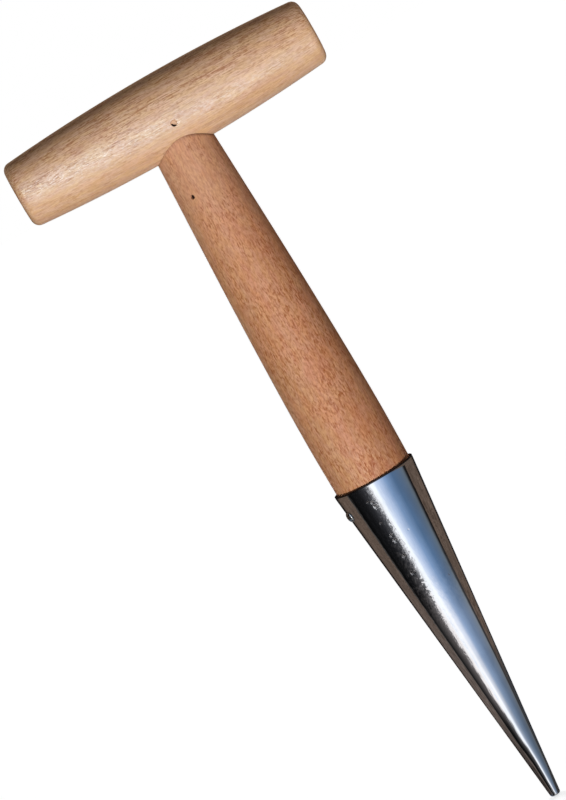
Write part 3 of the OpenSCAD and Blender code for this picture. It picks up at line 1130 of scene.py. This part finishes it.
# Twigs roughen the edge of the tree line. It lies lower in a gap, where they reach further, and is wider
# at the mouth and at the tip
TWIGS = Field(12.0, 3.6, detail=2.0, roughness=0.6)
TWIG_REACH = (40, 50)
TREE_LINE = ((-86, -60), (-12, -25))
GAP = ((92, 70), (26, 42))
GAP_SHIFT = 14
WIDER_TREES = (Change(6, 86, 108), Change(6, 28, 20))
LEAVES = Field(4.0, 1.5, shift=4.2, detail=3.0, roughness=0.7, edge=(0.52, 0.72))
SKY_REACH = 100
SKY = (
    (-98, (0.12, 0.105, 0.095)), (-94, (0.06, 0.055, 0.052)), (-91, (0.003, 0.003, 0.003)),
    (-66, (0.009, 0.009, 0.010)), (-52, (0.030, 0.030, 0.034)), (-44, (0.06, 0.06, 0.065)),
    (-39, (0.12, 0.12, 0.13)), (-35, (0.30, 0.30, 0.31)), (-31, (0.80, 0.80, 0.81)),
    (-27, (1.12, 1.13, 1.14)), (-24, (1.20, 1.22, 1.23)), (-14, (1.22, 1.28, 1.32)),
    (-6, (0.84, 0.94, 1.12)), (4, (0.60, 0.73, 0.97)), (22, (0.26, 0.40, 0.64)),
    (45, (0.11, 0.20, 0.35)), (62, (0.115, 0.18, 0.285)), (74, (0.13, 0.18, 0.25)),
    (80, (0.14, 0.18, 0.22)), (84, (0.11, 0.13, 0.155)), (88, (0.025, 0.025, 0.027)),
    (91, (0.012, 0.011, 0.011)),
)
SKY_TOUCHES = (
    # Haze low in the sky
    Touch((0.95, 0.94, 0.96), (
        Band(0.007, heights=((98, 72), *GAP)),
        Band(0.10, ((-30, 5),), ((98, 72),)))),
    # Glare beside the gap
    Touch((1.27, 1.25, 1.25), (
        Band(0.35, ((-24, -12), (16, 2)), GAP),
        Band(0.5, ((-30, -22), (-4, -14)), GAP))),
    # Dimmer blue towards the tip
    Touch((0.55, 0.53, 0.49), (Band(1.0, ((-14, 6),), ((72, 14),)),), "MULTIPLY"),
    # Warm light on the trees in the gap, and below their tops
    Touch((0.50, 0.44, 0.41), (Band(0.10, ((-92, -70), (-20, -40)), GAP),)),
    Touch((1.03, 0.97, 0.94), (Band(1.0, ((-80, -60), (-24, -34)), GAP),), "MULTIPLY"),
    Touch((0.75, 0.68, 0.62), (Band(0.045, ((-74, -48), (-20, -40)), ((104, 94),)),)),
    # Leaves that catch the light
    Touch((0.70, 0.70, 0.74), (Band(0.045, ((-88, -76), (-30, -42)), ((50, 70),)),), textured=True),
    # Dark at the far right
    Touch((0.045, 0.043, 0.045), (Band(1.0, ((80, 88),), ((104, 84),)),)),
)

SOIL = Field(12.0, 2.2, detail=3.0, roughness=0.65, edge=(0.30, 0.70))
DARK_SOIL = (0.070, 0.047, 0.034, 1)
PALE_SOIL = (0.205, 0.148, 0.115, 1)
# How strongly a textured touch shows on dark soil and on pale soil
CLODS = (1.2, 0.5)
SOIL_TOUCHES = (
    # Cooler on the left
    Touch((1.12, 1.22, 1.36), (Band(1.0, ((0, -60),), ((105, 45),)),), "MULTIPLY"),
    # Dark clods low on the left
    Touch((0.016, 0.013, 0.012), (Band(1.0, ((-60, -90),), ((34, 6),)),), textured=True),
    # Slate grey low on the right
    Touch((0.050, 0.052, 0.056), (Band(1.0, ((60, 90),), ((64, 34),)),)),
    # Dark straight behind, which shows at the edges of the cone
    Touch((0.014, 0.011, 0.010), (Band(1.0, ((138, 154),)), Band(1.0, ((-138, -154),)))),
)
# The rim of the soil, high on the right: its height at a turn, its fall with the turn, and its edges
RIM_HEIGHT = 205
RIM_TURN = 30
RIM_FALL = 0.73
RIM_EDGE = (0.0, 6.0)
RIM_SIDE = (20, 30)
# Heights behind over which the soil gives way, and how much of it is there above them and below them
LOW_SOIL = (-25, -70)
LOW_SOIL_SHARE = (1.0, 0.2)
# Far below lies the floor, bright in front and behind and dark at the sides. It comes in over this rise
FLOOR_EDGE = (-36, -46)
FLOOR = (
    (-180, (0.42, 0.40, 0.38)), (-150, (0.10, 0.085, 0.075)), (-115, (0.17, 0.13, 0.105)),
    (-85, (0.02, 0.018, 0.017)), (-40, (0.03, 0.03, 0.03)), (-14, (0.70, 0.70, 0.69)),
    (20, (0.66, 0.67, 0.68)), (45, (0.26, 0.29, 0.32)), (70, (0.16, 0.17, 0.18)),
    (100, (0.02, 0.018, 0.017)), (125, (0.15, 0.115, 0.09)), (150, (0.20, 0.17, 0.15)),
    (180, (0.42, 0.40, 0.38)),
)


def ramp(turn, shades, reach):
    """Shades at turns, on a ramp that reaches so far on both sides."""
    stops = [(at / (2 * reach) + MIDDLE, (*shade, 1)) for at, shade in shades]
    return turn.node("ShaderNodeValToRGB", {"stops": stops}, {0: turn / (2 * reach) + MIDDLE})


def paint(base, touches, turn, height, texture):
    """Lay touches of colour over a base, one after another, each on the sum of its bands."""
    for touch in touches:
        parts = []
        for band in touch.bands:
            part = band.strength
            for edge in band.turns:
                part = part * turn.step(*edge)
            for edge in band.heights:
                part = part * height.step(*edge)
            parts.append(part)
        shown = sum(parts[1:], parts[0])
        if touch.textured:
            shown = shown * texture
        base = base.mix(shown, base, (*touch.shade, 1), touch.blend)
    return base


def swing(turn, height):
    """The turn that a part of the cards shows, which swings round towards the tip."""
    foot, tip = [height.change(part) for part in LEFT_SWINGS]
    left = foot + tip
    right = height.change(RIGHT_SWING)
    about = turn - SWING_LAG * left
    left = left * (1 - about.change(LEFT_EASE))
    return turn - (left + (right - left) * about.step(*RIGHT_SIDE)) * abs(turn).step(*SWING_END)


def paint_sky(front, height):
    """Pale sky over a dark tree line."""
    low, high = GAP
    gap = height.step(*low) * height.step(*high)
    mouth, tip = [height.change(part) for part in WIDER_TREES]
    twigs = front.flat_noise(TWIGS, front, height) - MIDDLE
    shifted = gap.between(*TWIG_REACH) * twigs + GAP_SHIFT * gap - (mouth + tip)
    far, near = TREE_LINE
    ragged = front + shifted * front.step(*far) * front.step(*near)
    leaves = front.flat_noise(LEAVES, front, height)
    return paint(ramp(ragged, SKY, SKY_REACH), SKY_TOUCHES, front, height, leaves)


def paint_soil(turn, height):
    """Brown soil with clods in it."""
    soil = turn.flat_noise(SOIL, turn, height)
    return paint(turn.mix(soil, DARK_SOIL, PALE_SOIL), SOIL_TOUCHES, turn, height, soil.between(*CLODS))


def card_colours(wire):
    """What the cards show: pale sky over a dark tree line, brown soil, and a floor far below."""
    x, y, z = wire.node("ShaderNodeTexCoord", out="Object").parts()
    turn = wire.maths("ARCTAN2", x, 0 - y) * degrees(1)
    rise = wire.maths("ARCTAN2", z, (x * x + y * y) ** 0.5) * degrees(1)
    height = (rise - FOOT_RISE - RISE_CURVE * turn * turn) / RISE_PER_MM

    # The rear half repeats the front half, but soil lies over most of it and over the sky's right edge
    swung = swing(turn, height)
    behind = wire.maths("GREATER_THAN", abs(swung - FRONT_MIDDLE), FRONT_REACH)
    front = swung - HALF_TURN * behind * wire.maths("SIGN", swung)
    rim = (height - RIM_HEIGHT + RIM_FALL * (front - RIM_TURN)).step(*RIM_EDGE) * front.step(*RIM_SIDE)
    soil_behind = behind * height.step(*LOW_SOIL).between(*LOW_SOIL_SHARE)
    soil_seen = wire.maths("MAXIMUM", soil_behind, rim * (1 - behind))
    seen = wire.mix(soil_seen, paint_sky(front, height), paint_soil(turn, height))
    return wire.mix(rise.step(*FLOOR_EDGE), seen, ramp(turn, FLOOR, HALF_TURN))


# Stage

# Half of the floor's width and the size of its speckles, in metres
FLOOR_SIZE = 30.0
SPECKLES = Field(0.025, 0.025, detail=2.0)
SPECKLE = tint(236, 236, 236)


class DIBBER_OT_stage(bpy.types.Operator):
    """Set up the camera, the pale floor, the lamps and the cards that the steel mirrors"""

    bl_idname = "dibber.stage"
    bl_label = "Stage"

    def execute(self, context):
        scene = context.scene
        stage = scene.dibber.stage
        scene.view_settings.view_transform = "Standard"
        self.aim_camera(scene, stage)
        self.lay_floor(stage)
        self.hang_lamps(scene, stage)
        self.light_world(scene, stage)
        self.hang_cards()
        return {"FINISHED"}

    def aim_camera(self, scene, stage):
        """A camera that looks down a little and is rolled, so that the dibber lies aslant."""
        camera = bpy.data.objects.new("camera", bpy.data.cameras.new("camera"))
        camera.data.lens = stage.lens
        tilt = Matrix.Rotation(pi / 2 - stage.tilt, 4, "X")
        camera.matrix_world = Matrix.Translation(stage.eye) @ tilt @ Matrix.Rotation(-stage.roll, 4, "Z")
        scene.collection.objects.link(camera)
        scene.camera = camera

    def lay_floor(self, stage):
        """A floor that shows white to the camera wherever the object doesn't shade it."""
        bm = bmesh.new()
        bmesh.ops.create_grid(bm, x_segments=1, y_segments=1, size=FLOOR_SIZE)
        floor = new_object("floor", bm)
        material, wire = new_finish("pale_floor")
        seen = wire.rays("Camera", "Transmission")
        rear = 2 * stage.rear_level * sin(stage.rear_rise)
        missing = [1 - shade * (light + rear) for shade, light in zip(stage.floor, stage.ambient)]
        speckles = wire.noise(SPECKLES, *wire.node("ShaderNodeTexCoord", out="Object").parts())
        shade = wire.mix(speckles, stage.floor, SPECKLE)
        diffuse = wire.node("ShaderNodeBsdfDiffuse", inputs={"Color": shade})
        glow = wire.node("ShaderNodeEmission", inputs={"Color": (*missing[:3], 1), "Strength": seen})
        both = wire.node("ShaderNodeAddShader", inputs={0: diffuse, 1: glow})
        wire.node("ShaderNodeOutputMaterial", inputs={"Surface": both})
        floor.data.materials.append(material)
        hide_from(floor, "glossy", "diffuse", "shadow")

    def hang_lamps(self, scene, stage):
        """Low key lamps for wood and nails, a long one for the crossbar's sheen, and two behind."""
        crossbar = bpy.data.objects["turned_crossbar"]
        below = [bpy.data.objects["turned_shaft"], bpy.data.objects["domed_nail"]]
        brads = [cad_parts["crossbar_brad"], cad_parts["shaft_brad"]]
        level, spread = stage.key_level, stage.key_spread
        key = self.new_sun(scene, "key", stage.key_turn, stage.key_rise, level, spread)
        self.light_only(key, below + brads)
        bar_key = self.new_sun(scene, "crossbar_key", stage.bar_turn, stage.bar_rise, level, spread)
        self.light_only(bar_key, [crossbar])
        hide_from(bar_key, "glossy")
        sheen = self.new_panel_lamp(scene, "sheen", stage)
        self.light_only(sheen, [crossbar])
        hide_from(sheen, "diffuse", "camera")
        for name, turn in (("rear_right", stage.rear_turn), ("rear_left", -stage.rear_turn)):
            rear = self.new_sun(scene, name, turn, stage.rear_rise, stage.rear_level, stage.rear_spread)
            hide_from(rear, "glossy")

    def light_only(self, lamp, pieces):
        """Let a lamp light these pieces alone."""
        lit = bpy.data.collections.new("lit_by_" + lamp.name)
        for piece in pieces:
            lit.objects.link(piece)
        lamp.light_linking.receiver_collection = lit

    def new_sun(self, scene, name, turn, rise, level, spread):
        """A lamp far off, in a direction about Z and at a height above the horizon."""
        data = bpy.data.lights.new(name, "SUN")
        data.energy = level * pi
        data.angle = spread
        lamp = bpy.data.objects.new(name, data)
        to_lamp = Vector((sin(turn) * cos(rise), -cos(turn) * cos(rise), sin(rise)))
        lamp.rotation_euler = (-to_lamp).to_track_quat("-Z", "Y").to_euler()
        scene.collection.objects.link(lamp)
        return lamp

    def new_panel_lamp(self, scene, name, stage):
        """A long, leaning lamp near the crossbar, aimed at the left half of it."""
        data = bpy.data.lights.new(name, "AREA")
        data.shape = "RECTANGLE"
        data.size = stage.sheen_width
        data.size_y = stage.sheen_height
        data.energy = stage.sheen_power
        data.color = stage.sheen_tone[:3]
        lamp = bpy.data.objects.new(name, data)
        lamp.location = stage.sheen_from
        aim = Vector((BAR_LOW.x / 2, 0, BAR_Z)) - lamp.location
        turned = aim.to_track_quat("-Z", "Y").to_matrix() @ Matrix.Rotation(stage.sheen_lean, 3, "Z")
        lamp.rotation_euler = turned.to_euler()
        scene.collection.objects.link(lamp)
        return lamp

    def light_world(self, scene, stage):
        """White behind the object, and a low warm light from all round."""
        world = bpy.data.worlds.new("studio")
        world.use_nodes = True
        world.node_tree.nodes.clear()
        wire = Wire(world.node_tree)
        light = wire.mix(wire.rays("Camera", "Glossy", "Transmission"), stage.ambient, (1, 1, 1, 1))
        glow = wire.node("ShaderNodeBackground", inputs={"Color": light, "Strength": 1.0})
        wire.node("ShaderNodeOutputWorld", inputs={"Surface": glow})
        scene.world = world

    def hang_cards(self):
        """Cards all round, seen only in gloss, which stand for what the steel mirrors."""
        bm = bmesh.new()
        bmesh.ops.create_uvsphere(bm, u_segments=64, v_segments=32, radius=CARDS_RADIUS)
        cards = new_object("mirrored_cards", bm)
        material, wire = new_finish("mirrored_cards")
        glow = wire.node("ShaderNodeEmission", inputs={"Color": card_colours(wire), "Strength": 1.0})
        wire.node("ShaderNodeOutputMaterial", inputs={"Surface": glow})
        material.cycles.emission_sampling = "NONE"
        cards.data.materials.append(material)
        hide_from(cards, "camera", "diffuse", "transmission", "shadow")


class DIBBER_PT_panel(bpy.types.Panel):
    """Lists the steps that model the dibber"""

    bl_idname = "DIBBER_PT_panel"
    bl_label = "Garden Dibber"
    bl_space_type = "VIEW_3D"
    bl_region_type = "UI"
    bl_category = "Dibber"

    def draw(self, context):
        for step in STEPS:
            self.layout.operator(step.bl_idname)


STEPS = (
    DIBBER_OT_crossbar,
    DIBBER_OT_shaft,
    DIBBER_OT_steel_cone,
    DIBBER_OT_cone_nail,
    DIBBER_OT_dowel_joint,
    DIBBER_OT_stage,
)
GROUPS = (
    CrossbarSettings,
    ShaftSettings,
    ConeSettings,
    NailSettings,
    DowelSettings,
    StageSettings,
    DibberSettings,
)


def register():
    for group in (*GROUPS, *STEPS, DIBBER_PT_panel):
        bpy.utils.register_class(group)
    bpy.types.Scene.dibber = PointerProperty(type=DibberSettings)


def unregister():
    del bpy.types.Scene.dibber
    for group in reversed((*GROUPS, *STEPS, DIBBER_PT_panel)):
        bpy.utils.unregister_class(group)


def main():
    """Model the dibber step by step."""
    register()
    bpy.ops.dibber.crossbar()
    bpy.ops.dibber.shaft()
    bpy.ops.dibber.steel_cone()
    bpy.ops.dibber.cone_nail()
    bpy.ops.dibber.dowel_joint()
    bpy.ops.dibber.stage()


if __name__ == "__main__":
    main()
